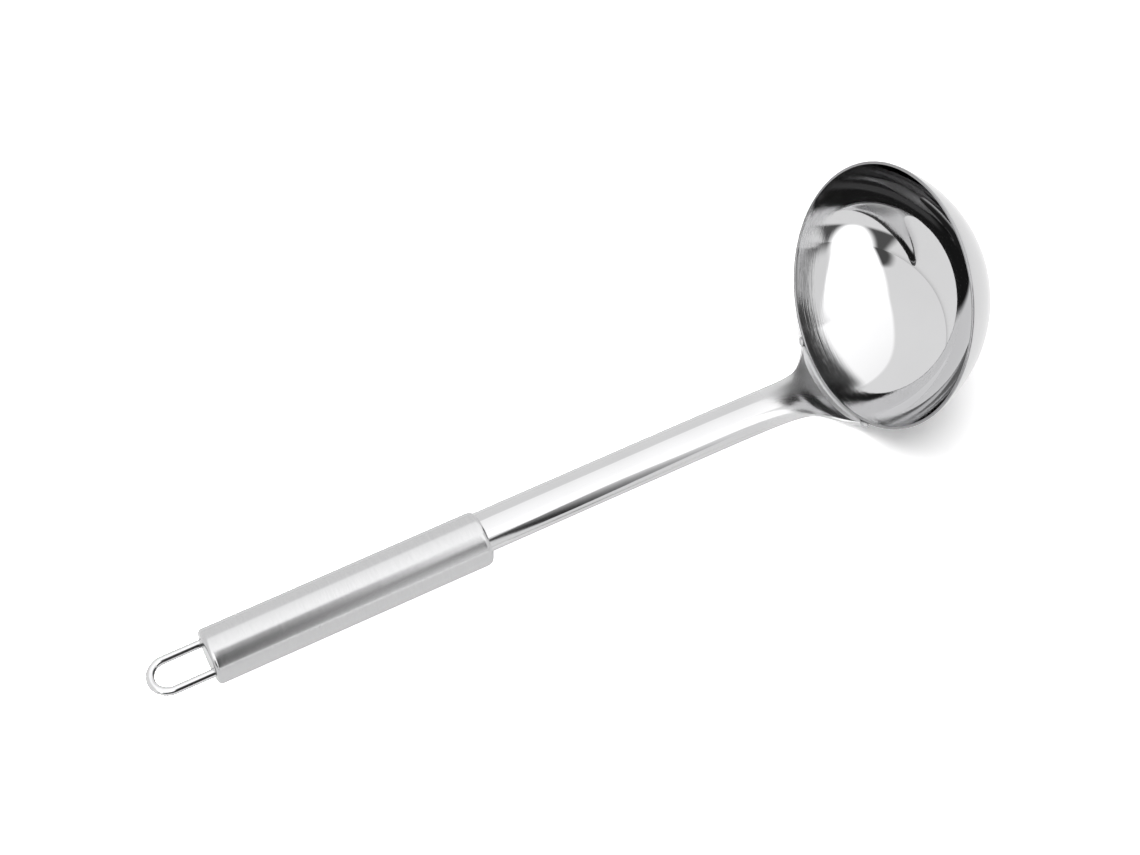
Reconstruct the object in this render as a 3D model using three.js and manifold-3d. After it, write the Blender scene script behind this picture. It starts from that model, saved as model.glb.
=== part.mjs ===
// Soup ladle: a spun bowl, a pressed stem welded to its rim, and a hollow handle with a wire hanging loop.
// Millimetres, +Z up. The ladle lies on a table: handle towards -X, bowl towards +X, mirror plane y = 0.
import * as THREE from 'three';
import { mergeVertices } from 'three/addons/utils/BufferGeometryUtils.js';
import Module from 'manifold-3d';

// Bowl
const BOWL_DIAMETER = 90;
const BOWL_DEPTH = 32.4;
const BOWL_SHEET = 1;

// Handle line, measured from the bowl
const HANDLE_TILT = THREE.MathUtils.degToRad(20.65);
const HANDLE_REACH = 41.2;
const HANDLE_START = 134;
const HANDLE_LENGTH = 97.5;

// Handle tube and caps
const TUBE_DIAMETER = 19;
const TUBE_WALL = 0.6;
const FRONT_SHOULDER = 2.2;
const REAR_SHOULDER = 1.6;
const CAP_FLANGE = 3;
const CAP_PLATE = 2.4;
const CAP_SPIGOT = 4;
const CAP_SPIGOT_WALL = 1;

// Stem strip, rolled to an arch that slides into the tube, and its flared foot
const STEM_SHEET = 1.4;
const STEM_HALF_ANGLE = THREE.MathUtils.degToRad(74.5);
const STEM_TANG = 18;
const FOOT_HALF_SPAN = THREE.MathUtils.degToRad(25.2);
const FOOT_LAP = 8;
const FOOT_TIP = 0.9;
const FLARE_REACH = 10.2;
const FLARE_POWER = 2.2;
const FLARE_TAPER = 6;

// Weld metal between the foot and the bowl
const SEAM_HEIGHT = 1.8;
const SEAM_FOOT = 0.45;
const SEAM_SHARE = 0.86;
const TACK_HALF_LENGTH = 1.6;
const TACK_HALF_HEIGHT = 0.8;
const TACK_HALF_DEPTH = 0.6;
const TACK_DROP = 0.5;

// Hanging loop
const WIRE_DIAMETER = 3;
const LOOP_SPACING = 12;
const LOOP_PROJECTION = 20.6;
const LOOP_TAIL = 6;

// Clearances
const WELD_GAP = 0.3;
const SLIP_GAP = 0.3;
const SLOT_GAP = 0.25;
const BUTT_GAP = 0.3;

// Facets
const ROUND_SEGMENTS = 64;
const TUBE_SEGMENTS = 40;
const MERIDIAN_STEPS = 12;
const FILLET_STEPS = 6;
const STEM_STATIONS = 34;
const LAP_STATIONS = 5;
const STEM_FIBRES = 16;
const WIRE_SIDES = 12;
const HOLE_SIDES = 16;
const WIRE_STEPS = 40;
const TACK_SEGMENTS = 14;
const TACK_RINGS = 8;
const SETTLE_ROUNDS = 40;
const SLOPE_STEP = 0.01;
const MERGE_DISTANCE = 1e-4;

const wasm = await Module();
wasm.setup();

// Derived sizes shared by the pieces
const rimRadius = BOWL_DIAMETER / 2;
const bowlRadius = (rimRadius ** 2 + BOWL_DEPTH ** 2) / (2 * BOWL_DEPTH);
const bowlCentre = bowlRadius - BOWL_DEPTH;
const tubeRadius = TUBE_DIAMETER / 2;
const boreRadius = tubeRadius - TUBE_WALL;
const stemRadius = boreRadius - SLIP_GAP;
const handleEnd = HANDLE_START + HANDLE_LENGTH;
const footRadius = bowlRadius + WELD_GAP;
const footRimAngle = Math.acos(bowlCentre / footRadius);
const footRimRadius = footRadius * Math.sin(footRimAngle);
const capDepth = CAP_FLANGE + CAP_SPIGOT;
const wireRadius = WIRE_DIAMETER / 2;
const legOffset = LOOP_SPACING / 2;

const polished = { color: 0xd6d7d9, roughness: 0.1, metalness: 1 };
const satin = { color: 0xc6c7c9, roughness: 0.38, metalness: 1 };
const weldMetal = { color: 0xb4b3b0, roughness: 0.45, metalness: 1 };

function piece(name, geometry, finish) {
  const mesh = new THREE.Mesh(geometry, new THREE.MeshStandardMaterial(finish));
  mesh.name = name;
  return mesh;
}

// Point on a circle about (x, y) at an angle from the +x direction.
function polar(x, y, radius, angle) {
  return new THREE.Vector2(x + radius * Math.cos(angle), y + radius * Math.sin(angle));
}

function arcPoints(x, y, radius, from, to, steps) {
  const points = [];
  for (let i = 0; i <= steps; i += 1) {
    points.push(polar(x, y, radius, from + ((to - from) * i) / steps));
  }
  return points;
}

// Solid of revolution about Z from a profile of (radius, height) points, outer side upwards.
function revolve(profile, segments) {
  const geometry = new THREE.LatheGeometry(profile, segments);
  geometry.rotateX(Math.PI / 2);
  return geometry;
}

function toSolid(geometry) {
  const shape = geometry.clone();
  shape.deleteAttribute('normal');
  shape.deleteAttribute('uv');
  const bare = mergeVertices(shape, MERGE_DISTANCE);
  const mesh = new wasm.Mesh({
    numProp: 3,
    vertProperties: new Float32Array(bare.attributes.position.array),
    triVerts: new Uint32Array(bare.index.array),
  });
  return new wasm.Manifold(mesh);
}

function fromSolid(solid) {
  const mesh = solid.getMesh();
  const geometry = new THREE.BufferGeometry();
  geometry.setAttribute('position', new THREE.BufferAttribute(mesh.vertProperties, 3));
  geometry.setIndex(new THREE.BufferAttribute(mesh.triVerts, 1));
  geometry.computeVertexNormals();
  return geometry;
}

// Closed solid through rings of points; each ring holds a front row and, reversed, its back row.
function loft(rings) {
  const size = rings[0].length;
  const half = size / 2;
  const positions = rings.flat().flatMap((p) => [p.x, p.y, p.z]);
  const triangles = [];
  const quad = (a, b, c, d) => triangles.push(a, b, c, a, c, d);
  for (let i = 0; i + 1 < rings.length; i += 1) {
    for (let k = 0; k < size; k += 1) {
      const next = (k + 1) % size;
      quad(i * size + k, i * size + next, (i + 1) * size + next, (i + 1) * size + k);
    }
  }
  const last = (rings.length - 1) * size;
  for (let j = 0; j + 1 < half; j += 1) {
    const back = size - 1 - j;
    quad(j, back, back - 1, j + 1);
    quad(last + j, last + j + 1, last + back - 1, last + back);
  }
  const geometry = new THREE.BufferGeometry();
  geometry.setAttribute('position', new THREE.Float32BufferAttribute(positions, 3));
  geometry.setIndex(triangles);
  geometry.computeVertexNormals();
  return geometry;
}

// The bowl is a spherical cap about its own Z axis, with the rounded rim edge on top at z = 0.
function bowl() {
  const middle = bowlRadius - BOWL_SHEET / 2;
  const rimAngle = Math.acos((bowlCentre + BOWL_SHEET / 2) / middle);
  const bottom = -Math.PI / 2;
  const rim = polar(0, bowlCentre, middle, bottom + rimAngle);
  const outer = arcPoints(0, bowlCentre, bowlRadius, bottom, bottom + rimAngle, MERIDIAN_STEPS);
  const lip = bottom + rimAngle;
  const edge = arcPoints(rim.x, rim.y, BOWL_SHEET / 2, lip, lip + Math.PI, FILLET_STEPS);
  const inner = arcPoints(0, bowlCentre, bowlRadius - BOWL_SHEET, bottom + rimAngle, bottom, MERIDIAN_STEPS);
  const profile = [...outer, ...edge.slice(1, -1), ...inner];
  profile[0].x = 0;
  profile[profile.length - 1].x = 0;
  return revolve(profile, ROUND_SEGMENTS);
}

// Coordinates for the stem: distance along the handle line from the rim, height over that line, and y.
// The handle line crosses the rim plane HANDLE_REACH from the bowl axis.
function fromBowl(radius, angle, height) {
  const out = radius * Math.cos(angle) - HANDLE_REACH;
  const along = out * Math.sin(HANDLE_TILT) + height * Math.cos(HANDLE_TILT);
  const up = height * Math.sin(HANDLE_TILT) - out * Math.cos(HANDLE_TILT);
  return new THREE.Vector3(-along, -radius * Math.sin(angle), up);
}

function archPoint(along, share) {
  const angle = share * STEM_HALF_ANGLE;
  return new THREE.Vector3(-along, -stemRadius * Math.sin(angle), stemRadius * Math.cos(angle));
}

// The foot lies on the outside of the bowl below the rim and carries straight on above it.
function footPoint(along, share) {
  if (along <= 0) {
    const angle = footRimAngle + along / footRadius;
    const height = bowlCentre - footRadius * Math.cos(angle);
    return fromBowl(footRadius * Math.sin(angle), share * FOOT_HALF_SPAN, height);
  }
  const radius = footRimRadius + along * Math.cos(footRimAngle);
  const archHalf = stemRadius * Math.sin(STEM_HALF_ANGLE);
  const footHalf = footRimRadius * Math.sin(FOOT_HALF_SPAN);
  const half = archHalf + (footHalf - archHalf) / (1 + along / FLARE_TAPER);
  return fromBowl(radius, share * Math.asin(half / radius), along * Math.sin(footRimAngle));
}

// Upper face of the stem: the arch of the straight part runs over into the flared foot.
function stemPoint(along, share) {
  const foot = footPoint(along, share);
  if (along <= 0) {
    return foot;
  }
  const blend = 1 / (1 + (along / FLARE_REACH) ** FLARE_POWER);
  return archPoint(along, share).lerp(foot, blend);
}

// Unit normal of that face, towards the bowl's inside and away from the table.
function stemNormal(along, share) {
  const lengthwise = stemPoint(along + SLOPE_STEP, share).sub(stemPoint(along - SLOPE_STEP, share));
  const across = stemPoint(along, share + SLOPE_STEP).sub(stemPoint(along, share - SLOPE_STEP));
  return lengthwise.cross(across).normalize();
}

function stemRing(alongOf) {
  const shares = Array.from({ length: STEM_FIBRES + 1 }, (_, j) => (2 * j) / STEM_FIBRES - 1);
  const front = shares.map((share) => stemPoint(alongOf(share), share));
  const back = shares.map((share, j) => {
    return stemNormal(alongOf(share), share).multiplyScalar(-STEM_SHEET).add(front[j]);
  });
  return [...front, ...back.reverse()];
}

function stem() {
  const tangEnd = HANDLE_START + STEM_TANG;
  const rings = [];
  for (let i = 0; i < STEM_STATIONS; i += 1) {
    const along = tangEnd * (1 - i / STEM_STATIONS) ** 2;
    rings.push(stemRing(() => along));
  }
  for (let i = 0; i <= LAP_STATIONS; i += 1) {
    const lap = (share) => FOOT_TIP + (FOOT_LAP - FOOT_TIP) * Math.sqrt(Math.max(0, 1 - share ** 2));
    rings.push(stemRing((share) => (-lap(share) * i) / LAP_STATIONS));
  }
  return loft(rings);
}

// Ground fillet weld in the corner between the rim's top and the foot.
function weldSeam() {
  const lip = rimRadius - BOWL_SHEET;
  const rings = [];
  for (let j = 0; j <= STEM_FIBRES; j += 1) {
    const share = SEAM_SHARE * ((2 * j) / STEM_FIBRES - 1);
    const low = stemNormal(SEAM_FOOT, share).multiplyScalar(WELD_GAP).add(stemPoint(SEAM_FOOT, share));
    const high = stemNormal(SEAM_HEIGHT, share).multiplyScalar(WELD_GAP).add(stemPoint(SEAM_HEIGHT, share));
    const inner = fromBowl(lip, share * FOOT_HALF_SPAN, WELD_GAP);
    const middle = inner.clone().add(high).divideScalar(2);
    rings.push([inner, middle, high, low]);
  }
  return loft(rings);
}

// Weld lump that ties one tip of the foot to the bowl wall.
function tackWeld(side) {
  const height = -TACK_DROP;
  const angle = Math.acos((bowlCentre - height) / footRadius);
  const radius = (footRadius + TACK_HALF_DEPTH) * Math.sin(angle);
  const turn = FOOT_HALF_SPAN + (TACK_HALF_LENGTH + WELD_GAP) / radius;
  const geometry = new THREE.SphereGeometry(1, TACK_SEGMENTS, TACK_RINGS);
  geometry.scale(TACK_HALF_DEPTH, TACK_HALF_LENGTH, TACK_HALF_HEIGHT);
  geometry.rotateZ(side * turn);
  geometry.translate(radius * Math.cos(turn), side * radius * Math.sin(turn), height);
  return geometry;
}

// Handle pieces are turned about Z, which the handle group lays along the handle line.
function tube() {
  const front = HANDLE_START + CAP_FLANGE + BUTT_GAP;
  const rear = handleEnd - CAP_FLANGE - BUTT_GAP;
  const corners = [
    [tubeRadius, front],
    [tubeRadius, rear],
    [boreRadius, rear],
    [boreRadius, front],
    [tubeRadius, front],
  ];
  return revolve(corners.map(([r, z]) => new THREE.Vector2(r, z)), TUBE_SEGMENTS);
}

// End cap with a rounded shoulder, a closing plate and a spigot in the tube; its face is at z = 0.
function capBlank(shoulder) {
  const spigot = boreRadius - SLIP_GAP;
  const hollow = spigot - CAP_SPIGOT_WALL;
  const corners = [
    [0, CAP_PLATE],
    [hollow, CAP_PLATE],
    [hollow, capDepth],
    [spigot, capDepth],
    [spigot, CAP_FLANGE],
    [tubeRadius, CAP_FLANGE],
  ];
  const round = arcPoints(tubeRadius - shoulder, shoulder, shoulder, 0, -Math.PI / 2, FILLET_STEPS);
  const profile = [...corners.map(([r, z]) => new THREE.Vector2(r, z)), ...round, new THREE.Vector2(0, 0)];
  return toSolid(revolve(profile.reverse(), TUBE_SEGMENTS));
}

// The slot follows the stem's arch all round at SLOT_GAP.
function frontCap() {
  const slot = new THREE.Shape();
  const outer = stemRadius + SLOT_GAP;
  const inner = stemRadius - STEM_SHEET - SLOT_GAP;
  const half = STEM_HALF_ANGLE + SLOT_GAP / inner;
  slot.absarc(0, 0, outer, -half, half, false);
  slot.absarc(0, 0, inner, half, -half, true);
  const depth = 2 * capDepth;
  const cutter = new THREE.ExtrudeGeometry(slot, { depth, bevelEnabled: false, curveSegments: STEM_FIBRES });
  cutter.translate(0, 0, (capDepth - depth) / 2);
  const geometry = fromSolid(capBlank(FRONT_SHOULDER).subtract(toSolid(cutter)));
  geometry.translate(0, 0, HANDLE_START);
  return geometry;
}

// The wire's legs pass through two holes at SLOT_GAP.
function rearCap() {
  let solid = capBlank(REAR_SHOULDER);
  for (const side of [-1, 1]) {
    const radius = wireRadius + SLOT_GAP;
    const hole = new THREE.CylinderGeometry(radius, radius, 2 * capDepth, HOLE_SIDES);
    hole.rotateX(Math.PI / 2);
    hole.translate(0, side * legOffset, capDepth / 2);
    solid = solid.subtract(toSolid(hole));
  }
  const geometry = fromSolid(solid);
  geometry.rotateX(Math.PI);
  geometry.translate(0, 0, handleEnd);
  return geometry;
}

// Centre line of the bent wire: a leg, a half turn and the other leg.
class LoopPath extends THREE.Curve {
  getPoint(t) {
    const straight = LOOP_TAIL + CAP_PLATE + LOOP_PROJECTION - legOffset - wireRadius;
    const bend = Math.PI * legOffset;
    const start = handleEnd - CAP_PLATE - LOOP_TAIL;
    const run = t * (2 * straight + bend);
    if (run < straight) {
      return new THREE.Vector3(0, legOffset, start + run);
    }
    if (run > straight + bend) {
      return new THREE.Vector3(0, -legOffset, start + 2 * straight + bend - run);
    }
    const angle = (run - straight) / legOffset;
    return new THREE.Vector3(0, legOffset * Math.cos(angle), start + straight + legOffset * Math.sin(angle));
  }
}

function hangingLoop() {
  const section = new THREE.Shape(arcPoints(0, 0, wireRadius, 0, 2 * Math.PI, WIRE_SIDES).slice(0, -1));
  const options = { steps: WIRE_STEPS, bevelEnabled: false, extrudePath: new LoopPath() };
  return new THREE.ExtrudeGeometry(section, options);
}

const bowlGroup = new THREE.Group();
bowlGroup.position.set(HANDLE_REACH * Math.sin(HANDLE_TILT), 0, HANDLE_REACH * Math.cos(HANDLE_TILT));
bowlGroup.rotation.y = HANDLE_TILT - Math.PI / 2;
bowlGroup.add(piece('bowl', bowl(), polished));

// The tack welds are placed about the bowl axis, on the stem's side.
const tackGroup = new THREE.Group();
tackGroup.rotation.z = Math.PI;
tackGroup.add(piece('weld_tack_left', tackWeld(1), weldMetal));
tackGroup.add(piece('weld_tack_right', tackWeld(-1), weldMetal));
bowlGroup.add(tackGroup);

// The handle group's Z axis runs along the handle line, away from the bowl, and its X axis points up.
const handleGroup = new THREE.Group();
handleGroup.rotation.y = -Math.PI / 2;
handleGroup.add(piece('handle_tube', tube(), satin));
handleGroup.add(piece('handle_front_cap', frontCap(), satin));
handleGroup.add(piece('handle_rear_cap', rearCap(), satin));
handleGroup.add(piece('hanging_loop', hangingLoop(), polished));

const stemGroup = new THREE.Group();
stemGroup.add(piece('stem', stem(), polished));
stemGroup.add(piece('weld_seam', weldSeam(), weldMetal));

// Lowest point of a group's pieces when the ladle is turned about Y by an angle.
function lowest(group, angle) {
  const turn = new THREE.Matrix4().makeRotationY(angle);
  const point = new THREE.Vector3();
  let low = Infinity;
  group.updateWorldMatrix(true, true);
  group.traverse((node) => {
    if (node.isMesh) {
      const place = turn.clone().multiply(node.matrixWorld);
      const positions = node.geometry.attributes.position;
      for (let i = 0; i < positions.count; i += 1) {
        low = Math.min(low, point.fromBufferAttribute(positions, i).applyMatrix4(place).z);
      }
    }
  });
  return low;
}

// The ladle tips until the bowl end and the handle end both touch the table.
function restingAngle(bowlEnd, handle) {
  let low = -Math.PI / 4;
  let high = Math.PI / 4;
  for (let i = 0; i < SETTLE_ROUNDS; i += 1) {
    const angle = (low + high) / 2;
    if (lowest(bowlEnd, angle) > lowest(handle, angle)) {
      low = angle;
    } else {
      high = angle;
    }
  }
  return (low + high) / 2;
}

const bowlEnd = new THREE.Group();
bowlEnd.add(bowlGroup, stemGroup);
const ladle = new THREE.Group();
ladle.add(bowlEnd, handleGroup);
const rest = restingAngle(bowlEnd, handleGroup);
ladle.rotation.y = rest;
ladle.updateMatrixWorld(true);
const box = new THREE.Box3().setFromObject(ladle, true);
ladle.position.set(-(box.min.x + box.max.x) / 2, 0, -box.min.z);

const soupLadle = new THREE.Group();
soupLadle.add(ladle);

export default soupLadle;
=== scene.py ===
import math
from collections import namedtuple

import bmesh
import bpy
from mathutils import Euler, Matrix, Vector, noise


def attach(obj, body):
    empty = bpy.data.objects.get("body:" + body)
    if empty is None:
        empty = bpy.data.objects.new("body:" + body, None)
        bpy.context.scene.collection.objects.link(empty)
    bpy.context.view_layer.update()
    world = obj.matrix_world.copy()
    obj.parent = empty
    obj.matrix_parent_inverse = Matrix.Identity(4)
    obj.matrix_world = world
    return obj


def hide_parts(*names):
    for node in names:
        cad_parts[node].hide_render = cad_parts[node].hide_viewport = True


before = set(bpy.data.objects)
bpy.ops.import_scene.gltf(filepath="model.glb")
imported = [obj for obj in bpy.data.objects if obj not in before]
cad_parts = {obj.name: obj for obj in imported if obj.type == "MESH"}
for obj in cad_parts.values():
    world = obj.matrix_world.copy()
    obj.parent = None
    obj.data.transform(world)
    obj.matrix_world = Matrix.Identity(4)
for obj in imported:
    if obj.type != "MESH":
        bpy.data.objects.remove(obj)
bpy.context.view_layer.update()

MM = 0.001

# How the ladle rests on the table, as in the CAD: turned about Y, then moved
REST_TURN = math.radians(1.7553519)
REST_MOVE = Vector((101.3757, 0, 5.32348)) * MM

# Bowl, a spherical cap of sheet steel
RIM_RADIUS = 45 * MM
BOWL_DEPTH = 32.4 * MM
BOWL_SHEET = 1 * MM
BOWL_RADIUS = (RIM_RADIUS ** 2 + BOWL_DEPTH ** 2) / (2 * BOWL_DEPTH)
BOWL_CENTRE = BOWL_RADIUS - BOWL_DEPTH
BOWL_TURNS = 192
BOWL_RINGS = 72
RIM_STEPS = 12

# Handle line against the bowl
HANDLE_TILT = math.radians(20.65)
HANDLE_REACH = 41.2 * MM
HANDLE_START = 134 * MM
HANDLE_LENGTH = 97.5 * MM
HANDLE_END = HANDLE_START + HANDLE_LENGTH

# Handle tube and its caps
TUBE_RADIUS = 9.5 * MM
TUBE_WALL = 0.6 * MM
FRONT_SHOULDER = 2.2 * MM
REAR_SHOULDER = 1.6 * MM
CAP_FLANGE = 3 * MM
CAP_PLATE = 2.4 * MM
HANDLE_TURNS = 180
SHOULDER_STEPS = 12

# Stem of arched sheet steel
STEM_RADIUS = 8.6 * MM
STEM_SHEET = 1.4 * MM
STEM_HALF_ANGLE = math.radians(74.5)
STEM_TANG = 18 * MM
STEM_EDGE = 0.3 * MM
STEM_EDGE_STEPS = 3
STEM_STATIONS = 150
STEM_FIBRES = 56
LAP_ROW_SHARE = 0.12
SLOT_GAP = 0.25 * MM
SLOT_HALF_ANGLE = math.radians(77.7)
SLOT_FACING = -0.1

# Flared foot of the stem, welded to the outside of the bowl
FOOT_HALF_SPAN = math.radians(25.2)
FOOT_LAP = 8 * MM
FOOT_TIP = 0.9 * MM
FOOT_PROUD = 0.3 * MM
FLARE_REACH = 10.2 * MM
FLARE_POWER = 2.2
FLARE_TAPER = 6 * MM
FOOT_RADIUS = BOWL_RADIUS + FOOT_PROUD
FOOT_RIM_ANGLE = math.acos(BOWL_CENTRE / FOOT_RADIUS)
FOOT_RIM_RADIUS = FOOT_RADIUS * math.sin(FOOT_RIM_ANGLE)

# Weld along the foot
SEAM_HEIGHT = 1.9 * MM
SEAM_SHARE = 0.97
SEAM_SINK = 0.25 * MM
SEAM_ROUND = 1.5
SEAM_BLUNT = 3
SEAM_END_SIZE = 0.02
SEAM_RIPPLE = 0.06 * MM
SEAM_RIPPLE_SCALE = 900
SEAM_STATIONS = 96
SEAM_ROWS = 30
SEAM_MERGE = 1e-6
TACK_HALF_LENGTH = 1.9 * MM
TACK_HALF_HEIGHT = 1.1 * MM
TACK_HALF_DEPTH = 0.9 * MM
TACK_DROP = 0.35 * MM
TACK_PROUD = 0.3 * TACK_HALF_DEPTH
TACK_PAST_TIP = 0.55 * TACK_HALF_LENGTH
TACK_DETAIL = 4
LUMP_SCALE = 1.3
LUMP_SHIFT = 3
LUMP_ROUGHNESS = 0.8
LUMP_STEP = 2
LUMP_LAYERS = 4
LUMP_HEIGHT = 0.16

# Hanging loop of round wire
WIRE_RADIUS = 1.5 * MM
LOOP_HALF = 6 * MM
LOOP_PROJECTION = 20.6 * MM
LOOP_TAIL = 3 * MM
WIRE_SIDES = 32
BEND_STEPS = 40

SHARP_ANGLE = math.radians(35)
MERGE = 1e-7

# Camera at the photograph's place, turned by angles in degrees
CAMERA_PLACE = (-0.167494, -0.371119, 0.616823)
CAMERA_TURN = (35.56099, 2.31183, -27.69051)
CAMERA_LENS = 69.4737
SENSOR_WIDTH = 36

rest = Matrix.Translation(REST_MOVE) @ Matrix.Rotation(REST_TURN, 4, "Y")


def axes(x_axis, y_axis, z_axis, origin):
    """Frame whose axes and origin are given."""
    turned = Matrix((x_axis, y_axis, z_axis)).transposed().to_4x4()
    return Matrix.Translation(origin) @ turned


tilt_sin = math.sin(HANDLE_TILT)
tilt_cos = math.cos(HANDLE_TILT)
bowl_place = rest @ axes(
    (-tilt_sin, 0, -tilt_cos),
    (0, -1, 0),
    (-tilt_cos, 0, tilt_sin),
    Vector((tilt_sin, 0, tilt_cos)) * HANDLE_REACH,
)
handle_place = rest @ axes((0, 0, 1), (0, 1, 0), (-1, 0, 0), (0, 0, 0))


# Shapes

def arc(centre, radius, start, end, steps):
    """Points (radius, 0, height) of a profile along a round stretch."""
    points = []
    for i in range(steps + 1):
        angle = start + (end - start) * i / steps
        across = centre[0] + radius * math.cos(angle)
        points.append(Vector((across, 0, centre[1] + radius * math.sin(angle))))
    return points


def profile_point(across, height):
    """Point of a profile, across from the axis and up along it."""
    return Vector((across, 0, height))


def spun(profile, turns):
    """Shell of revolution about Z."""
    shell = bmesh.new()
    verts = [shell.verts.new(point) for point in profile]
    edges = [shell.edges.new(pair) for pair in zip(verts, verts[1:])]
    bmesh.ops.spin(
        shell, geom=verts + edges, cent=(0, 0, 0), axis=(0, 0, 1),
        angle=math.tau, steps=turns, use_merge=True,
    )
    bmesh.ops.remove_doubles(shell, verts=shell.verts[:], dist=MERGE)
    bmesh.ops.recalc_face_normals(shell, faces=shell.faces[:])
    return shell


def sheet_grid(columns, rows, point):
    """Grid of faces whose points are point(u, v), u and v from -1 to 1."""
    grid = bmesh.new()
    bmesh.ops.create_grid(grid, x_segments=columns, y_segments=rows, size=1)
    for vert in grid.verts:
        vert.co = point(vert.co.x, vert.co.y)
    return grid


def piece(name, shell, place, nodes, finish):
    """Makes an object of a bmesh, moved to its place, that stands for its CAD nodes."""
    bmesh.ops.transform(shell, matrix=place, verts=shell.verts[:])
    for face in shell.faces:
        face.smooth = True
    for edge in shell.edges:
        edge.smooth = edge.calc_face_angle(0) < SHARP_ANGLE
    mesh = bpy.data.meshes.new(name)
    shell.to_mesh(mesh)
    shell.free()
    made = bpy.data.objects.new(name, mesh)
    bpy.context.scene.collection.objects.link(made)
    made.data.materials.append(finish)
    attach(made, "root")
    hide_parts(*nodes)


def bowl_shell():
    """Spherical cap with a wall and a rounded rim."""
    middle = BOWL_RADIUS - BOWL_SHEET / 2
    bottom = -math.pi / 2
    lip = bottom + math.acos((BOWL_CENTRE + BOWL_SHEET / 2) / middle)
    centre = (0, BOWL_CENTRE)
    rim = (middle * math.cos(lip), BOWL_CENTRE + middle * math.sin(lip))
    outside = arc(centre, BOWL_RADIUS, bottom, lip, BOWL_RINGS)
    edge = arc(rim, BOWL_SHEET / 2, lip, lip + math.pi, RIM_STEPS)
    inside = arc(centre, BOWL_RADIUS - BOWL_SHEET, lip, bottom, BOWL_RINGS)
    outside[0].x = 0
    inside[-1].x = 0
    return spun(outside + edge[1:-1] + inside, BOWL_TURNS)


def from_bowl(radius, angle, height):
    """Stem coordinates of a point that is given about the bowl's axis."""
    out = radius * math.cos(angle) - HANDLE_REACH
    along = out * tilt_sin + height * tilt_cos
    up = height * tilt_sin - out * tilt_cos
    return Vector((-along, -radius * math.sin(angle), up))


def arch_point(along, share):
    """Point of the straight arch; share goes from -1 to 1 across it."""
    angle = share * STEM_HALF_ANGLE
    return Vector((-along, -STEM_RADIUS * math.sin(angle), STEM_RADIUS * math.cos(angle)))


def foot_point(along, share):
    """Point of the foot, which lies on the bowl below the rim and goes straight on above it."""
    if along <= 0:
        angle = FOOT_RIM_ANGLE + along / FOOT_RADIUS
        height = BOWL_CENTRE - FOOT_RADIUS * math.cos(angle)
        return from_bowl(FOOT_RADIUS * math.sin(angle), share * FOOT_HALF_SPAN, height)
    radius = FOOT_RIM_RADIUS + along * math.cos(FOOT_RIM_ANGLE)
    arch_half = STEM_RADIUS * math.sin(STEM_HALF_ANGLE)
    foot_half = FOOT_RIM_RADIUS * math.sin(FOOT_HALF_SPAN)
    half = arch_half + (foot_half - arch_half) / (1 + along / FLARE_TAPER)
    return from_bowl(radius, share * math.asin(half / radius), along * math.sin(FOOT_RIM_ANGLE))


def stem_point(along, share):
    """Point of the stem's outside, where the foot runs out into the arch."""
    foot = foot_point(along, share)
    if along <= 0:
        return foot
    blend = 1 / (1 + (along / FLARE_REACH) ** FLARE_POWER)
    return arch_point(along, share).lerp(foot, blend)


def stem_shell():
    """Strip from the lap on the bowl to the tang in the handle, with rounded edges."""
    tang_end = HANDLE_START + STEM_TANG

    def point(u, v):
        if v > 0:
            return stem_point(tang_end * v ** 2, u)
        lap = FOOT_TIP + (FOOT_LAP - FOOT_TIP) * math.sqrt(max(0, 1 - u ** 2))
        return stem_point(lap * v, u)

    def stretched(u, v):
        split = 2 * LAP_ROW_SHARE - 1
        if v > split:
            return point(u, (v - split) / (1 - split))
        return point(u, (v - split) / (1 + split))

    shell = sheet_grid(STEM_FIBRES, STEM_STATIONS, stretched)
    bmesh.ops.recalc_face_normals(shell, faces=shell.faces[:])
    if shell.faces[len(shell.faces) // 2].normal.z < 0:
        bmesh.ops.reverse_faces(shell, faces=shell.faces[:])
    bmesh.ops.solidify(shell, geom=shell.faces[:], thickness=STEM_SHEET)
    shell.normal_update()
    border = [edge for edge in shell.edges if edge.calc_face_angle(0) > SHARP_ANGLE]
    bmesh.ops.bevel(
        shell, geom=border, offset=STEM_EDGE, offset_type="OFFSET", affect="EDGES",
        segments=STEM_EDGE_STEPS, profile=0.5, material=-1,
    )
    return shell


def seam_shell():
    """Concave fillet of weld metal in the corner between the rim and the foot.

    Round its section, turn goes from 0 to 1 over the fillet's face and from 1 to SEAM_ROUND
    over its back, by way of a point sunk in the rim.
    """
    lip = RIM_RADIUS - BOWL_SHEET

    def point(u, v):
        share = u * SEAM_SHARE
        size = math.sqrt(max(0, 1 - (u * u) ** SEAM_BLUNT)) + SEAM_END_SIZE
        inner = from_bowl(lip + (1 - size) * BOWL_SHEET, share * FOOT_HALF_SPAN, 0)
        high = stem_point(SEAM_HEIGHT * size, share)
        root = stem_point(0, share)
        turn = (v + 1) / 2 * SEAM_ROUND
        if turn > 1:
            low = (root + inner) / 2 - Vector((0, 0, SEAM_SINK))
            back = (turn - 1) / (SEAM_ROUND - 1) * 2
            return high.lerp(low, back) if back < 1 else low.lerp(inner, back - 1)
        first = inner.lerp(root, turn)
        second = root.lerp(high, turn)
        spot = first.lerp(second, turn)
        ripple = noise.noise(spot * SEAM_RIPPLE_SCALE) * SEAM_RIPPLE
        return spot + Vector((0, 0, ripple))

    shell = sheet_grid(SEAM_STATIONS, SEAM_ROWS, point)
    bmesh.ops.remove_doubles(shell, verts=shell.verts[:], dist=SEAM_MERGE)
    ends = [edge for edge in shell.edges if edge.is_boundary]
    bmesh.ops.holes_fill(shell, edges=ends)
    bmesh.ops.recalc_face_normals(shell, faces=shell.faces[:])
    return shell


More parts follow.
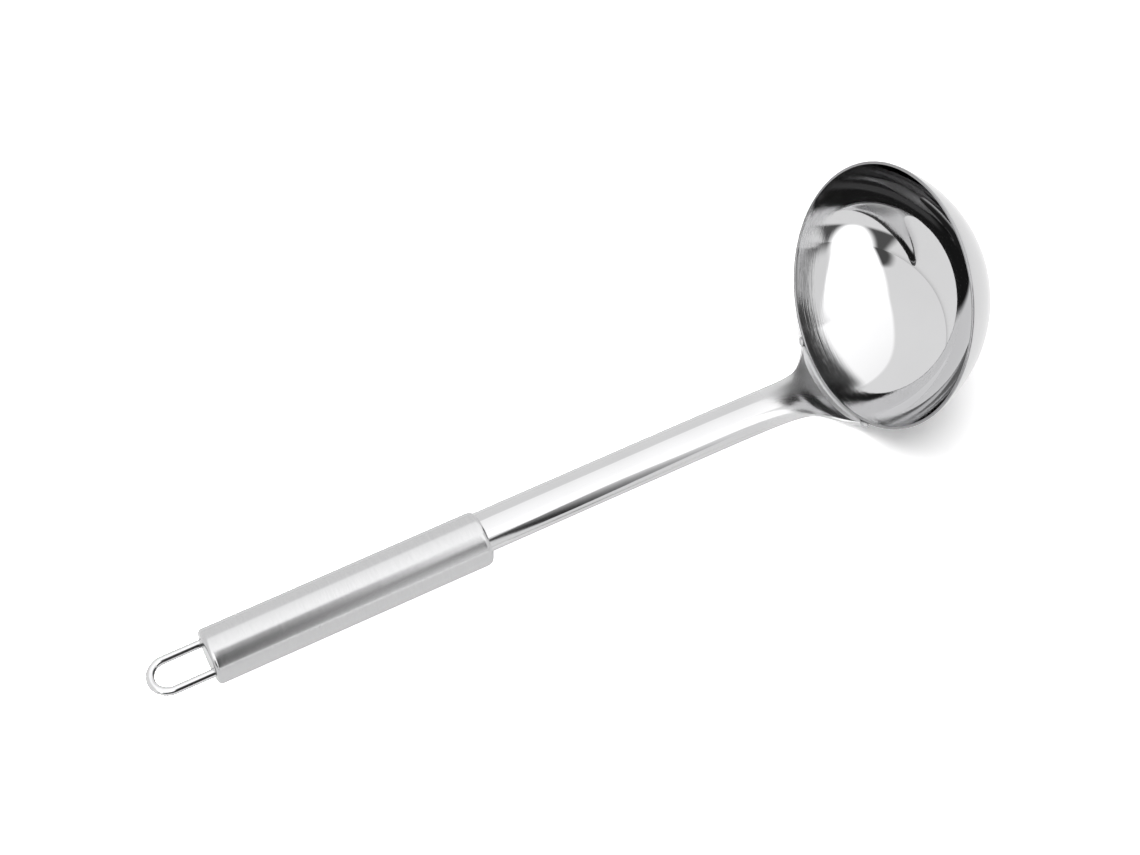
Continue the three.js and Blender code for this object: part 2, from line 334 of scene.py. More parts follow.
def tack_shell(side):
    """Lump of weld that ties one tip of the foot to the bowl wall."""
    shell = bmesh.new()
    bmesh.ops.create_icosphere(shell, subdivisions=TACK_DETAIL, radius=1)
    shift = Vector((side * LUMP_SHIFT, 0, 0))
    for vert in shell.verts:
        spot = vert.co * LUMP_SCALE + shift
        lumps = noise.fractal(spot, LUMP_ROUGHNESS, LUMP_STEP, LUMP_LAYERS)
        vert.co *= 1 + LUMP_HEIGHT * lumps
    height = -TACK_DROP
    angle = math.acos((BOWL_CENTRE - height) / FOOT_RADIUS)
    radius = FOOT_RADIUS * math.sin(angle) + TACK_PROUD
    turn = FOOT_HALF_SPAN + TACK_PAST_TIP / radius
    size = Matrix.Diagonal((TACK_HALF_DEPTH, TACK_HALF_LENGTH, TACK_HALF_HEIGHT, 1))
    bmesh.ops.transform(shell, matrix=size, verts=shell.verts[:])
    swing = Matrix.Rotation(side * turn, 4, "Z") @ Matrix.Translation((radius, 0, height))
    bmesh.ops.transform(shell, matrix=swing, verts=shell.verts[:])
    return shell


def tube_shell():
    """Hollow tube between the flanges of its two caps."""
    front = HANDLE_START + CAP_FLANGE
    rear = HANDLE_END - CAP_FLANGE
    bore = TUBE_RADIUS - TUBE_WALL
    profile = [
        profile_point(TUBE_RADIUS, front),
        profile_point(TUBE_RADIUS, rear),
        profile_point(bore, rear),
        profile_point(bore, front),
        profile_point(TUBE_RADIUS, front),
    ]
    return spun(profile, HANDLE_TURNS)


def cap_profile(shoulder, extra):
    """Cap with its face at z = 0; extra radii of the face get their own ring of points."""
    shoulder_arc = arc(
        (TUBE_RADIUS - shoulder, shoulder), shoulder, 0, -math.pi / 2, SHOULDER_STEPS,
    )
    face = [profile_point(radius, 0) for radius in extra]
    bore = TUBE_RADIUS - TUBE_WALL
    back = [
        profile_point(0, CAP_PLATE),
        profile_point(bore, CAP_PLATE),
        profile_point(bore, CAP_FLANGE),
        profile_point(TUBE_RADIUS, CAP_FLANGE),
    ]
    return back + shoulder_arc + face + [profile_point(0, 0)]


def front_cap_shell():
    """Cap whose face has a sunk slot, bent like the stem that goes into it."""
    slot_inner = STEM_RADIUS - STEM_SHEET - SLOT_GAP
    slot_outer = STEM_RADIUS + SLOT_GAP
    shell = spun(cap_profile(FRONT_SHOULDER, [slot_inner]), HANDLE_TURNS)
    slot_faces = []
    for face in shell.faces:
        spot = face.calc_center_median()
        radius = math.hypot(spot.x, spot.y)
        angle = abs(math.atan2(spot.y, spot.x))
        in_face = spot.z < FRONT_SHOULDER and face.normal.z < SLOT_FACING
        if in_face and slot_inner < radius < slot_outer and angle < SLOT_HALF_ANGLE:
            slot_faces.append(face)
    sunk = bmesh.ops.extrude_face_region(shell, geom=slot_faces)["geom"]
    floor_verts = [item for item in sunk if isinstance(item, bmesh.types.BMVert)]
    bmesh.ops.delete(shell, geom=slot_faces, context="FACES_ONLY")
    for vert in floor_verts:
        vert.co.z = CAP_PLATE - SLOT_GAP
    bmesh.ops.translate(shell, verts=shell.verts[:], vec=(0, 0, HANDLE_START))
    return shell


def rear_cap_shell():
    """Cap with a plain face, turned to look away from the bowl."""
    shell = spun(cap_profile(REAR_SHOULDER, []), HANDLE_TURNS)
    turned = Matrix.Translation((0, 0, HANDLE_END)) @ Matrix.Rotation(math.pi, 4, "X")
    bmesh.ops.transform(shell, matrix=turned, verts=shell.verts[:])
    return shell


def loop_shell():
    """Round wire: one leg, a half turn and the other leg."""
    bend = HANDLE_END + LOOP_PROJECTION - LOOP_HALF - WIRE_RADIUS
    start = HANDLE_END - LOOP_TAIL
    shell = bmesh.new()
    ring = bmesh.ops.create_circle(shell, cap_ends=True, segments=WIRE_SIDES, radius=WIRE_RADIUS)
    bmesh.ops.translate(shell, verts=ring["verts"], vec=(0, LOOP_HALF, start))

    def extend(geometry, vector):
        grown = bmesh.ops.extrude_face_region(shell, geom=geometry)["geom"]
        verts = [item for item in grown if isinstance(item, bmesh.types.BMVert)]
        bmesh.ops.translate(shell, verts=verts, vec=vector)
        return [item for item in grown if isinstance(item, bmesh.types.BMFace)]

    head = extend(shell.faces[:], (0, 0, bend - start))
    round_end = bmesh.ops.spin(
        shell, geom=head, cent=(0, 0, bend), axis=(1, 0, 0),
        angle=math.pi, steps=BEND_STEPS,
    )["geom_last"]
    head = [item for item in round_end if isinstance(item, bmesh.types.BMFace)]
    extend(head, (0, 0, start - bend))
    bmesh.ops.remove_doubles(shell, verts=shell.verts[:], dist=MERGE)
    bmesh.ops.recalc_face_normals(shell, faces=shell.faces[:])
    return shell


# Finishes

MIX_SHARE = 0
MIX_FROM = 6
MIX_TO = 7
MIX_COLOUR = 2


class Value:
    """A number from a shader socket; arithmetic on it adds Math nodes."""

    def __init__(self, tree, socket):
        self.tree = tree
        self.socket = socket

    def math(self, operation, *terms):
        inputs = dict(enumerate(terms))
        return self.tree.value("ShaderNodeMath", {"operation": operation}, inputs)

    def __add__(self, other):
        return self.math("ADD", self, other)

    def __radd__(self, other):
        return self.math("ADD", other, self)

    def __sub__(self, other):
        return self.math("SUBTRACT", self, other)

    def __rsub__(self, other):
        return self.math("SUBTRACT", other, self)

    def __mul__(self, other):
        return self.math("MULTIPLY", self, other)

    def __rmul__(self, other):
        return self.math("MULTIPLY", other, self)

    def __truediv__(self, other):
        return self.math("DIVIDE", self, other)

    def __rtruediv__(self, other):
        return self.math("DIVIDE", other, self)

    def __lt__(self, other):
        return self.math("LESS_THAN", self, other)

    def __pow__(self, other):
        return self.math("POWER", self, other)

    def root(self):
        return self.math("SQRT", self)

    def size(self):
        return self.math("ABSOLUTE", self)

    def larger(self, other):
        return self.math("MAXIMUM", self, other)

    def between(self, low, high):
        """0 below low, 1 above high, smooth in between."""
        settings = {"interpolation_type": "SMOOTHSTEP", "clamp": True}
        inputs = {0: self, 1: low, 2: high, 3: 0, 4: 1}
        return self.tree.value("ShaderNodeMapRange", settings, inputs)


class Nodes:
    """Adds nodes to a material's or world's tree."""

    def __init__(self, owner):
        owner.use_nodes = True
        self.tree = owner.node_tree
        self.tree.nodes.clear()

    def node(self, kind, settings=None, inputs=None):
        made = self.tree.nodes.new(kind)
        for name, setting in (settings or {}).items():
            setattr(made, name, setting)
        for name, given in (inputs or {}).items():
            socket = made.inputs[name]
            given = getattr(given, "socket", given)
            if isinstance(given, bpy.types.NodeSocket):
                self.tree.links.new(given, socket)
            else:
                socket.default_value = given
        return made

    def value(self, kind, settings=None, inputs=None, output=0):
        return Value(self, self.node(kind, settings, inputs).outputs[output])

    def parts(self, vector):
        split = self.node("ShaderNodeSeparateXYZ", None, {0: vector})
        return [Value(self, split.outputs[i]) for i in range(3)]

    def joined(self, x, y, z):
        return self.node("ShaderNodeCombineXYZ", None, {0: x, 1: y, 2: z}).outputs[0]

    def object_point(self, place=None):
        """Object coordinates, in the frame of place where it is given."""
        spot = self.node("ShaderNodeTexCoord").outputs["Object"]
        if place is None:
            return spot
        back = place.inverted()
        move = {"Location": back.to_translation(), "Rotation": back.to_euler()}
        settings = {"vector_type": "POINT"}
        return self.node("ShaderNodeMapping", settings, {0: spot, **move}).outputs[0]

    def ray(self, fact):
        """What Light Path says of the ray that meets the surface, such as its length."""
        return self.value("ShaderNodeLightPath", output=fact)

    def mirrored_past(self, count):
        """1 for a ray that was mirrored more than count times."""
        return 1 - (self.ray("Glossy Depth") < count + 0.5)

    def along(self, vector, axis):
        """How far a vector reaches along an axis."""
        settings = {"operation": "DOT_PRODUCT"}
        return self.value("ShaderNodeVectorMath", settings, {0: vector, 1: axis}, "Value")

    def noise(self, vector, scale, detail=2, roughness=0.5):
        inputs = {"Vector": vector, "Scale": scale, "Detail": detail, "Roughness": roughness}
        return self.value("ShaderNodeTexNoise", None, inputs)

    def bump(self, height, strength, distance):
        inputs = {"Height": height, "Strength": strength, "Distance": distance}
        return self.node("ShaderNodeBump", None, inputs).outputs[0]

    def steel(self, tone, roughness, normal):
        inputs = {"Base Color": tone, "Metallic": 1, "Roughness": roughness, "Normal": normal}
        shader = self.node("ShaderNodeBsdfPrincipled", None, inputs)
        self.node("ShaderNodeOutputMaterial", None, {"Surface": shader.outputs[0]})

    def blend_tone(self, share, dark, light):
        settings = {"data_type": "RGBA"}
        inputs = {MIX_SHARE: share, MIX_FROM: dark, MIX_TO: light}
        return self.node("ShaderNodeMix", settings, inputs).outputs[MIX_COLOUR]


STEEL_BLUE = 0.005


def steel_tone(level):
    """Grey with a trace more blue."""
    return (level, level, level + STEEL_BLUE, 1)


STEEL_DARK = steel_tone(0.575)
STEEL_LIGHT = steel_tone(0.635)
# Painted shade: the lip is coloured darker in place of the dark line that its reflections make
LIP_PAINTED_SHADE = steel_tone(0.3)
STEM_DARK = steel_tone(0.54)
STEM_LIGHT = steel_tone(0.59)
# Painted light: the flare is coloured lighter than the stem so that it looks brighter
FLARE_PAINTED_LIGHT = steel_tone(0.62)
SATIN_DARK = steel_tone(0.495)
SATIN_LIGHT = steel_tone(0.53)
WELD_DARK = steel_tone(0.4)
WELD_LIGHT = steel_tone(0.5)

# Bowl: heights from the rim, and how the wheel marks stretch, stand out and roughen
# LIP_HEIGHT is how far below the rim the painted shade on the lip reaches
LIP_HEIGHT = 0.9 * MM
WHEEL_LOW = -12 * MM
WHEEL_HIGH = -1 * MM
WHEEL_PITCH = 900
WHEEL_RELIEF = 0.7
BOWL_WAVE_RELIEF = 0.4
BOWL_ROUGHNESS = 0.03
WHEEL_ROUGHNESS = 0.05

# Stem: where the duller flare lies, which is also painted lighter, and marks per metre along and
# across
FLARE_MATT = 36 * MM
FLARE_NEAR = -4 * MM
FLARE_FAR = 2 * MM
STEM_PITCH_ALONG = 25
STEM_PITCH_ACROSS = 900
STEM_MARK_RELIEF = 0.15
STEM_WAVE_RELIEF = 0.5
STEM_ROUGHNESS = 0.035
STEM_MARK_ROUGHNESS = 0.05
FLARE_ROUGHNESS = 0.14
FLARE_FAR_ROUGHNESS = 0.26

# Handle: grain per metre across the tube and along it
FINE_ACROSS = 300
FINE_ALONG = 6000
FINE_SHARE = 0.75
COARSE_ACROSS = 60
COARSE_ALONG = 900
GRAIN_DARK = 0.3
GRAIN_LIGHT = 0.7
SATIN_ROUGHNESS = 0.18
COARSE_ROUGHNESS = 0.04

# Wire and welds
WIRE_ROUGHNESS = 0.04
WIRE_GRAIN_ROUGHNESS = 0.05
WELD_ROUGHNESS = 0.3
WELD_GRAIN_ROUGHNESS = 0.12


def polished_bowl():
    """Mirror polish with faint waves, wheel marks that run round below the rim, and painted shade
    that darkens the lip.
    """
    finish = bpy.data.materials.new("polished_bowl")
    nodes = Nodes(finish)
    spot = nodes.object_point(bowl_place)
    x, y, z = nodes.parts(spot)
    across = (x * x + y * y).root()
    ring = nodes.joined(x / across, y / across, z * WHEEL_PITCH)
    marks = nodes.noise(ring, scale=3, detail=3, roughness=0.6)
    waves = nodes.noise(spot, scale=60, detail=2)
    near_rim = z.between(WHEEL_LOW, WHEEL_HIGH)
    relief = marks * near_rim * WHEEL_RELIEF + waves * BOWL_WAVE_RELIEF
    normal = nodes.bump(relief, strength=0.12, distance=0.4 * MM)
    roughness = BOWL_ROUGHNESS + marks * near_rim * WHEEL_ROUGHNESS
    clouds = nodes.noise(spot, scale=35, detail=3)
    tone = nodes.blend_tone(clouds, STEEL_DARK, STEEL_LIGHT)
    # Painted shade on the lip: a darker colour standing in for the dark line the rim mirrors
    painted_shade_at_lip = z.between(-LIP_HEIGHT, -LIP_HEIGHT / 3)
    tone = nodes.blend_tone(painted_shade_at_lip, tone, LIP_PAINTED_SHADE)
    nodes.steel(tone, roughness, normal)
    return finish


def polished_stem():
    """Mirror polish with faint marks along the stem, and a flare that is dullest on its far side and
    painted lighter.
    """
    finish = bpy.data.materials.new("polished_stem")
    nodes = Nodes(finish)
    spot = nodes.object_point(rest)
    x, y, z = nodes.parts(spot)
    streaks = nodes.joined(x * STEM_PITCH_ALONG, y * STEM_PITCH_ACROSS, z * STEM_PITCH_ACROSS)
    marks = nodes.noise(streaks, scale=1, detail=3, roughness=0.6)
    waves = nodes.noise(spot, scale=70, detail=2)
    relief = marks * STEM_MARK_RELIEF + waves * STEM_WAVE_RELIEF
    normal = nodes.bump(relief, strength=0.1, distance=0.4 * MM)
    flare = x.between(-FLARE_MATT, -FLARE_MATT / 2)
    far_side = y.between(FLARE_NEAR, FLARE_FAR)
    duller = flare * (FLARE_ROUGHNESS + far_side * FLARE_FAR_ROUGHNESS)
    roughness = STEM_ROUGHNESS + marks * STEM_MARK_ROUGHNESS + duller
    clouds = nodes.noise(spot, scale=40, detail=3)
    tone = nodes.blend_tone(clouds, STEM_DARK, STEM_LIGHT)
    # Painted light: the flare's colour is lifted to brighten it
    tone = nodes.blend_tone(flare, tone, FLARE_PAINTED_LIGHT)
    nodes.steel(tone, roughness, normal)
    return finish


def polished_wire():
    """Bright drawn wire with a faint grain."""
    finish = bpy.data.materials.new("polished_wire")
    nodes = Nodes(finish)
    spot = nodes.object_point()
    grain = nodes.noise(spot, scale=900, detail=3, roughness=0.6)
    normal = nodes.bump(grain, strength=0.03, distance=0.2 * MM)
    tone = nodes.blend_tone(grain, STEEL_DARK, STEEL_LIGHT)
    nodes.steel(tone, WIRE_ROUGHNESS + grain * WIRE_GRAIN_ROUGHNESS, normal)
    return finish


def satin_handle():
    """Satin grind whose fine lines run round the handle."""
    finish = bpy.data.materials.new("satin_handle")
    nodes = Nodes(finish)
    spot = nodes.object_point(handle_place)
    x, y, z = nodes.parts(spot)
    fine_lines = nodes.joined(x * FINE_ACROSS, y * FINE_ACROSS, z * FINE_ALONG)
    fine = nodes.noise(fine_lines, scale=1, detail=2, roughness=0.6)
    coarse_lines = nodes.joined(x * COARSE_ACROSS, y * COARSE_ACROSS, z * COARSE_ALONG)
    coarse = nodes.noise(coarse_lines, scale=1, detail=2, roughness=0.6)
    grain = fine * FINE_SHARE + coarse * (1 - FINE_SHARE)
    normal = nodes.bump(grain, strength=0.002, distance=0.1 * MM)
    tone = nodes.blend_tone(grain.between(GRAIN_DARK, GRAIN_LIGHT), SATIN_DARK, SATIN_LIGHT)
    nodes.steel(tone, SATIN_ROUGHNESS + coarse * COARSE_ROUGHNESS, normal)
    return finish


def ground_weld():
    """Weld metal, ground dull and grainy."""
    finish = bpy.data.materials.new("ground_weld")
    nodes = Nodes(finish)
    spot = nodes.object_point()
    grain = nodes.noise(spot, scale=1400, detail=4, roughness=0.6)
    normal = nodes.bump(grain, strength=0.25, distance=0.2 * MM)
    tone = nodes.blend_tone(grain, WELD_DARK, WELD_LIGHT)
    nodes.steel(tone, WELD_ROUGHNESS + grain * WELD_GRAIN_ROUGHNESS, normal)
    return finish


# Studio

# Table of white paper: as a diffuse tone, as a glow in the steel, and as the camera sees it,
# with a shadow beside the bowl, painted light beside the handle that washes its shadow out, and plain
# white far off
FLOOR_HALF = 3.0
FLOOR_TONE = 0.9
FLOOR_MIRRORED = 0.35
FLOOR_GLOW = 0.67
FLOOR_SEEN_BOWL = 1.3
FLOOR_SEEN_HANDLE = 6.0
FLOOR_HANDLE_END = 0.08
FLOOR_BOWL_START = 0.105
FLOOR_FAR_START = 0.5
FLOOR_FAR_END = 1.2

# The room: its light on the table, and its tone in the steel
AMBIENT = 0.3
SURROUND = 1.1
WHITE = (1, 1, 1, 1)

# A second mirroring finds the near side dark and the rest of the room brighter,
# and a third finds less light all round
DEEP_AXIS = (-0.763, -0.640, -0.087)
DEEP_INNER = math.cos(math.radians(53))
DEEP_OUTER = math.cos(math.radians(58))
DEEP_HIGH_AXIS = (-0.439, -0.627, 0.643)
DEEP_HIGH_INNER = math.cos(math.radians(18))
DEEP_HIGH_OUTER = math.cos(math.radians(22))
DEEP_TONE = 0.02
DEEP_SURROUND = 1.4
DEEP_FLOOR_TONE = 0.03
DEEP_FLOOR_START = -0.085
DEEP_FLOOR_END = -0.065
DEEP_FLOOR_NEAR = 0.02
DEEP_FLOOR_FAR = 0.035
THIRD_SHADE = 0.75

# A first mirroring finds the far paper white in a wedge on the near side, and dark beside that
TABLE_END = 0.115
TABLE_END_FADE = 0.02
TABLE_END_CENTRE = (0.128, 0.035)
TABLE_END_AXIS = (-0.616, -0.788)
TABLE_WHITE = 2.1
TABLE_WHITE_HALF = 0.305
TABLE_DARK = 0.12
TABLE_DARK_CENTRE = -0.05
TABLE_DARK_HALF = 0.36
TABLE_SOFT = 0.14

# Cards: FIRST_ONLY is the deep of a card that no second mirroring sees
CARD_DARKEST = 0.02
CARD_DEEP_FADE = 0.2
FIRST_ONLY = -2
HANDLE_MARGIN = 12.5 * MM
LOOP_MARGIN = 1.3 * MM

# Stretches of the ladle that a card may be kept for: in a ball, and short of a limit on an axis
Stretch = namedtuple("Stretch", "centre radius axis limit")


def bowl_inside():
    """Inside of the bowl: within the middle of its sheet, and below the rim."""
    centre = bowl_place @ Vector((0, 0, BOWL_CENTRE))
    axis = bowl_place.col[2].to_3d()
    return Stretch(centre, BOWL_RADIUS - BOWL_SHEET / 2, axis, axis.dot(bowl_place.to_translation()))


def handle_from(distance, margin):
    """All from a distance along the handle's line on, and a margin before it."""
    start = handle_place @ Vector((0, 0, distance))
    return Stretch(start, 2 * HANDLE_LENGTH, Vector((1, 0, 0)), start.x + margin)


def flat(name, corners, material):
    """Panel of one face, for the studio."""
    panel = bmesh.new()
    verts = [panel.verts.new(spot) for spot in corners]
    face = panel.faces.new(verts)
    spread = panel.loops.layers.uv.new("spread")
    for loop, spot in zip(face.loops, ((0, 0), (1, 0), (1, 1), (0, 1))):
        loop[spread].uv = spot
    mesh = bpy.data.meshes.new(name)
    panel.to_mesh(mesh)
    panel.free()
    made = bpy.data.objects.new(name, mesh)
    bpy.context.scene.collection.objects.link(made)
    made.data.materials.append(material)
    return made


def deep_shade(nodes, x, y, length):
    """How much of the paper's light a second or third mirroring loses."""
    near_side = (x * DEEP_AXIS[0] + y * DEEP_AXIS[1]).between(DEEP_FLOOR_START, DEEP_FLOOR_END)
    second = near_side * nodes.mirrored_past(1) * length.between(DEEP_FLOOR_NEAR, DEEP_FLOOR_FAR)
    return second.larger(nodes.mirrored_past(2) * THIRD_SHADE)


def table_end(nodes, x, y, length):
    """Where a first mirroring finds the white and dark end of the table, and its tone there."""
    from_x = x - TABLE_END_CENTRE[0]
    from_y = y - TABLE_END_CENTRE[1]
    away = from_x * TABLE_END_AXIS[0] + from_y * TABLE_END_AXIS[1]
    aside = from_y * TABLE_END_AXIS[0] - from_x * TABLE_END_AXIS[1]
    turn = aside / away
    first = 1 - nodes.mirrored_past(1)
    far_off = length.between(TABLE_END, TABLE_END + TABLE_END_FADE)
    dark_turn = (turn - TABLE_DARK_CENTRE).size()
    outside = dark_turn.between(TABLE_DARK_HALF, TABLE_DARK_HALF + TABLE_SOFT)
    ended = first * far_off * (1 - outside) * (1 - (away < 0))
    white_half = TABLE_WHITE_HALF * (1 - TABLE_END / length).root()
    white = 1 - turn.size().between(white_half - TABLE_SOFT / 2, white_half + TABLE_SOFT / 2)
    return ended, TABLE_DARK + white * (TABLE_WHITE - TABLE_DARK)


def table_paper():
    """White paper that shows its shadow to the camera, washed out by painted light beside the handle,
    and glows in the steel.
    """
    material = bpy.data.materials.new("table_paper")
    nodes = Nodes(material)
    camera = nodes.ray("Is Camera Ray")
    glossy = nodes.ray("Is Glossy Ray")
    length = nodes.ray("Ray Length")
    x, y, _ = nodes.parts(nodes.object_point())
    shade = deep_shade(nodes, x, y, length)
    ended, end_tone = table_end(nodes, x, y, length)
    # Painted light: to the camera the paper is far brighter beside the handle, which washes the
    # handle's shadow out
    by_bowl = x.between(FLOOR_HANDLE_END, FLOOR_BOWL_START)
    seen = FLOOR_SEEN_HANDLE + by_bowl * (FLOOR_SEEN_BOWL - FLOOR_SEEN_HANDLE)
    mirrored = FLOOR_MIRRORED * (1 - shade.larger(ended))
    tone = FLOOR_TONE + camera * (seen - FLOOR_TONE) + glossy * (mirrored - FLOOR_TONE)
    colour = nodes.node("ShaderNodeCombineColor", None, {0: tone, 1: tone, 2: tone}).outputs[0]
    paper = nodes.node("ShaderNodeBsdfDiffuse", None, {"Color": colour})
    plain_tone = FLOOR_GLOW + shade * (DEEP_FLOOR_TONE - FLOOR_GLOW)
    far = (x * x + y * y).root().between(FLOOR_FAR_START, FLOOR_FAR_END)
    glow = glossy * (plain_tone + ended * (end_tone - plain_tone)) + camera * far
    light = nodes.node("ShaderNodeEmission", None, {"Strength": glow})
    both = nodes.node("ShaderNodeAddShader", None, {0: paper.outputs[0], 1: light.outputs[0]})
    nodes.node("ShaderNodeOutputMaterial", None, {"Surface": both.outputs[0]})
    return material


def starts_in(nodes, stretch):
    """1 for a ray that starts in a stretch of the ladle, which is the same from every view."""
    length = nodes.ray("Ray Length")
    surface = nodes.node("ShaderNodeNewGeometry").outputs
    back = {0: surface["Incoming"], 1: nodes.joined(length, length, length), 2: surface["Position"]}
    start = nodes.node("ShaderNodeVectorMath", {"operation": "MULTIPLY_ADD"}, back).outputs[0]
    ends = {0: start, 1: stretch.centre}
    away = nodes.value("ShaderNodeVectorMath", {"operation": "DISTANCE"}, ends, "Value")
    return (away < stretch.radius) * (nodes.along(start, stretch.axis) < stretch.limit)


def card_light(name, tone, slope, soft, power, deep, only):
    """Light that fades out towards the card's edge; slope makes its upper end brighter.

    A second mirroring sees the card only below deep, which goes from -1 to 1 up the card. Where
    only is given, the card is clear to rays that don't start in that stretch of the ladle.
    """
    material = bpy.data.materials.new(name)
    nodes = Nodes(material)
    u, v, _ = nodes.parts(nodes.node("ShaderNodeTexCoord").outputs["UV"])
    u = u * 2 - 1
    v = v * 2 - 1
    reach = (u.size() ** power + v.size() ** power) ** (1 / power)
    shown = 1 - reach.between(1 - soft, 1)
    if deep is not None:
        first = 1 - nodes.mirrored_past(1)
        shown = shown * first.larger(1 - v.between(deep, deep + CARD_DEEP_FADE))
    if only is not None:
        shown = shown * starts_in(nodes, only)
    strength = (tone + v * slope).larger(CARD_DARKEST)
    light = nodes.node("ShaderNodeEmission", None, {"Strength": strength})
    clear = nodes.node("ShaderNodeBsdfTransparent")
    inputs = {0: shown, 1: clear.outputs[0], 2: light.outputs[0]}
    mixed = nodes.node("ShaderNodeMixShader", None, inputs)
    nodes.node("ShaderNodeOutputMaterial", None, {"Surface": mixed.outputs[0]})
    return material


def card(name, centre, across, up, tone, soft, slope=0, power=6, deep=None, only=None):
    """Card that shows in the steel but neither lights the table nor stands in a view."""
    centre = Vector(centre)
    across = Vector(across)
    up = Vector(up)
    corners = [centre - across - up, centre + across - up, centre + across + up, centre - across + up]
    made = flat(name, corners, card_light(name + "_light", tone, slope, soft, power, deep, only))
    made.visible_camera = False
    made.visible_diffuse = False
    made.visible_shadow = False
    made.visible_transmission = False
    made.visible_volume_scatter = False


def studio_world():
    """White room to the camera, dim light on the table, and its own tones in the steel."""
    world = bpy.data.worlds.new("studio")
    bpy.context.scene.world = world
    nodes = Nodes(world)
    camera = nodes.ray("Is Camera Ray")
    glossy = nodes.ray("Is Glossy Ray")
    deep = nodes.mirrored_past(1)
    facing = nodes.object_point()
    low = nodes.along(facing, DEEP_AXIS).between(DEEP_OUTER, DEEP_INNER)
    high = nodes.along(facing, DEEP_HIGH_AXIS).between(DEEP_HIGH_OUTER, DEEP_HIGH_INNER)
    shade = (deep * low.larger(high)).larger(nodes.mirrored_past(2) * THIRD_SHADE)
    plain = SURROUND + deep * (DEEP_SURROUND - SURROUND)
    mirrored = plain + shade * (DEEP_TONE - plain)
    strength = AMBIENT + camera * (1 - AMBIENT) + glossy * (mirrored - AMBIENT)
    shader = nodes.node("ShaderNodeBackground", None, {"Color": WHITE, "Strength": strength})
    nodes.node("ShaderNodeOutputWorld", None, {"Surface": shader.outputs[0]})


def lamp(name, place, target, size, power):
    """Soft lamp that casts the shadow and isn't mirrored in the steel."""
    data = bpy.data.lights.new(name, "AREA")
    data.shape = "RECTANGLE"
    data.size, data.size_y = size
    data.energy = power
    made = bpy.data.objects.new(name, data)
    bpy.context.scene.collection.objects.link(made)
    made.location = place
    aim = Vector(target) - Vector(place)
    made.rotation_euler = aim.to_track_quat("-Z", "Y").to_euler()
    made.visible_glossy = False


def bowl_cards():
    """Cards set for the bowl: a softbox above, a dark lid, and cards at its near side."""
    inside = bowl_inside()
    card(
        "softbox", centre=(0.22, 0.17, 0.7), across=(0.9, 0, 0), up=(-0.47, -0.47, 0),
        tone=1.62, slope=0.17, soft=0.13, deep=-0.15,
    )
    card(
        "dark_lid", centre=(0.15, 0.008, 0.09), across=(0.036, 0, 0), up=(0, 0.074, 0),
        tone=0.08, soft=0.32, only=inside,
    )
    card(
        "white_card", centre=(-2.86, -3.28, 0.97), across=(1.77, -1.02, 0), up=(1.884, 3.26, 2.175),
        tone=2.0, soft=0.25, power=5, deep=FIRST_ONLY,
    )
    card(
        "halo_card", centre=(-4.5, -5.4, 0.8), across=(3.7, -3.2, 0), up=(0, 0, 1.5),
        tone=0.1, soft=0.3, power=3,
    )
    card(
        "grey_card", centre=(0.14, -0.057, 0.1), across=(0.025, 0, 0), up=(0.02, 0, 0.075),
        tone=0.42, soft=0.15, power=5, only=inside,
    )
    card(
        "pale_card", centre=(0.109, -0.055, 0.1), across=(0.012, 0, 0), up=(0.02, 0, 0.075),
        tone=1.05, soft=0.3, power=5, only=inside,
    )


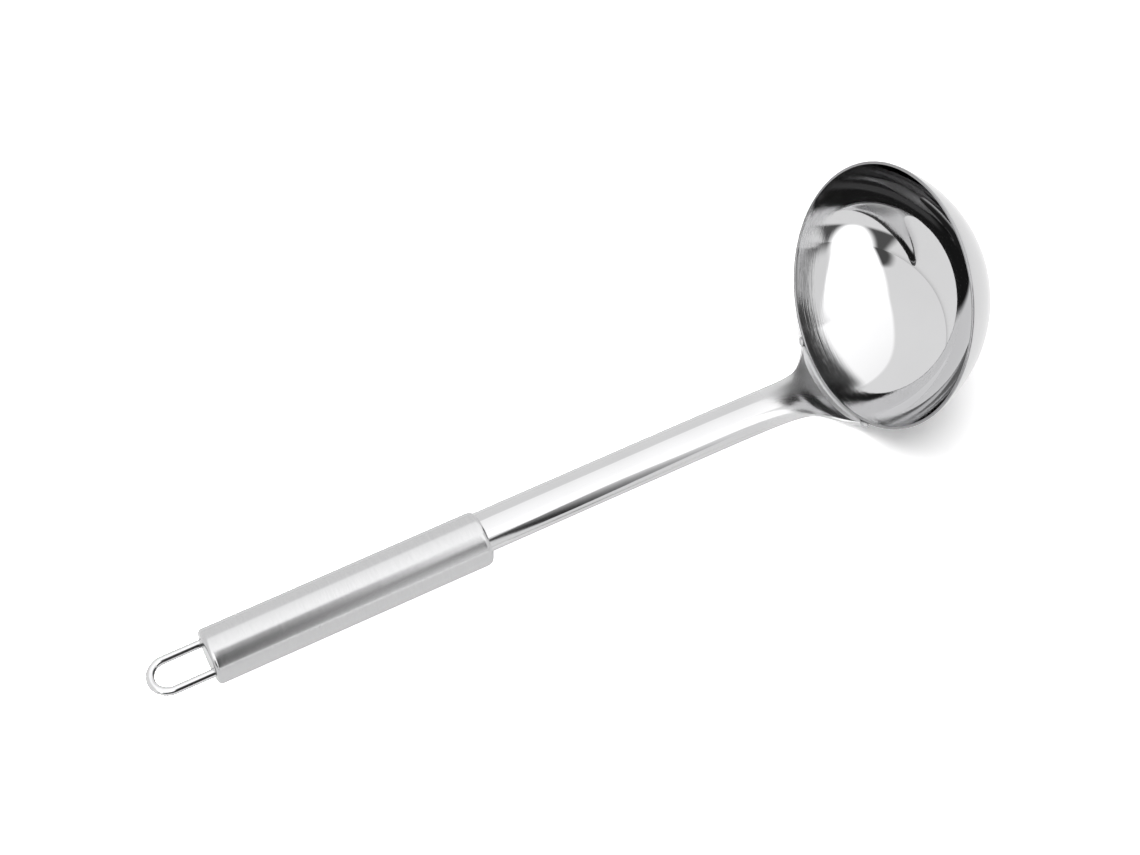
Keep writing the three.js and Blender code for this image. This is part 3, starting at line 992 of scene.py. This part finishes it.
def handle_cards():
    """Cards set for the handle, stem and loop: dark cloths at the near side, and a high light."""
    card(
        "dark_cloth", centre=(0.1, -2.5, 1.45), across=(0.2, 0, 1.4), up=(0.615, 0, 0),
        tone=-0.05, slope=1.35, soft=0.12, power=5,
    )
    card(
        "dark_high", centre=(0.52, -2.52, 4.0), across=(0.26, 0, 1.6), up=(0.47, 0, 0),
        tone=0.2, slope=0.4, soft=0.12, power=5, only=handle_from(HANDLE_START, HANDLE_MARGIN),
    )
    card(
        "stem_cloth", centre=(0.85, -2.4, 1.43), across=(0, 0, 0.75), up=(0.28, 0, 0.5),
        tone=0.487, slope=0.64, soft=0.12, power=5,
    )
    card(
        "stem_light", centre=(2.32, -2.45, 5.5), across=(1.2, 0, 0), up=(0.485, 0, 3.65),
        tone=1.9, soft=0.05, power=8, deep=FIRST_ONLY,
    )
    card(
        "loop_cloth", centre=(-0.2, -0.6, 0.27), across=(0.8, 0, 0), up=(0, 0, 0.27),
        tone=0.04, soft=0.15, only=handle_from(HANDLE_END, LOOP_MARGIN),
    )


def studio():
    """Table, room, lamp and cards."""
    span = FLOOR_HALF
    table = [(-span, -span, 0), (span, -span, 0), (span, span, 0), (-span, span, 0)]
    flat("table", table, table_paper())
    studio_world()
    lamp("overhead", place=(0, 0, 1.0), target=(0, 0, 0), size=(1.0, 1.0), power=12)
    bowl_cards()
    handle_cards()


def photo_camera():
    """Camera that sees the ladle as the photograph does."""
    data = bpy.data.cameras.new("photo_camera")
    data.sensor_width = SENSOR_WIDTH
    data.lens = CAMERA_LENS
    made = bpy.data.objects.new("photo_camera", data)
    made.location = CAMERA_PLACE
    made.rotation_euler = Euler([math.radians(angle) for angle in CAMERA_TURN], "XYZ")
    bpy.context.scene.collection.objects.link(made)
    bpy.context.scene.camera = made


def ladle():
    """Pieces of the ladle, each in place of its CAD node."""
    satin = satin_handle()
    weld = ground_weld()
    piece("bowl_sheet", bowl_shell(), bowl_place, ["bowl"], polished_bowl())
    piece("stem_sheet", stem_shell(), rest, ["stem"], polished_stem())
    piece("seam_bead", seam_shell(), rest, ["weld_seam"], weld)
    for side, name in ((1, "left"), (-1, "right")):
        lump = tack_shell(side)
        piece("tack_lump_" + name, lump, bowl_place, ["weld_tack_" + name], weld)
    piece("tube_sleeve", tube_shell(), handle_place, ["handle_tube"], satin)
    piece("front_cap_turned", front_cap_shell(), handle_place, ["handle_front_cap"], satin)
    piece("rear_cap_turned", rear_cap_shell(), handle_place, ["handle_rear_cap"], satin)
    piece("loop_wire", loop_shell(), handle_place, ["hanging_loop"], polished_wire())


bpy.context.scene.view_settings.view_transform = "Standard"
photo_camera()
studio()
ladle()
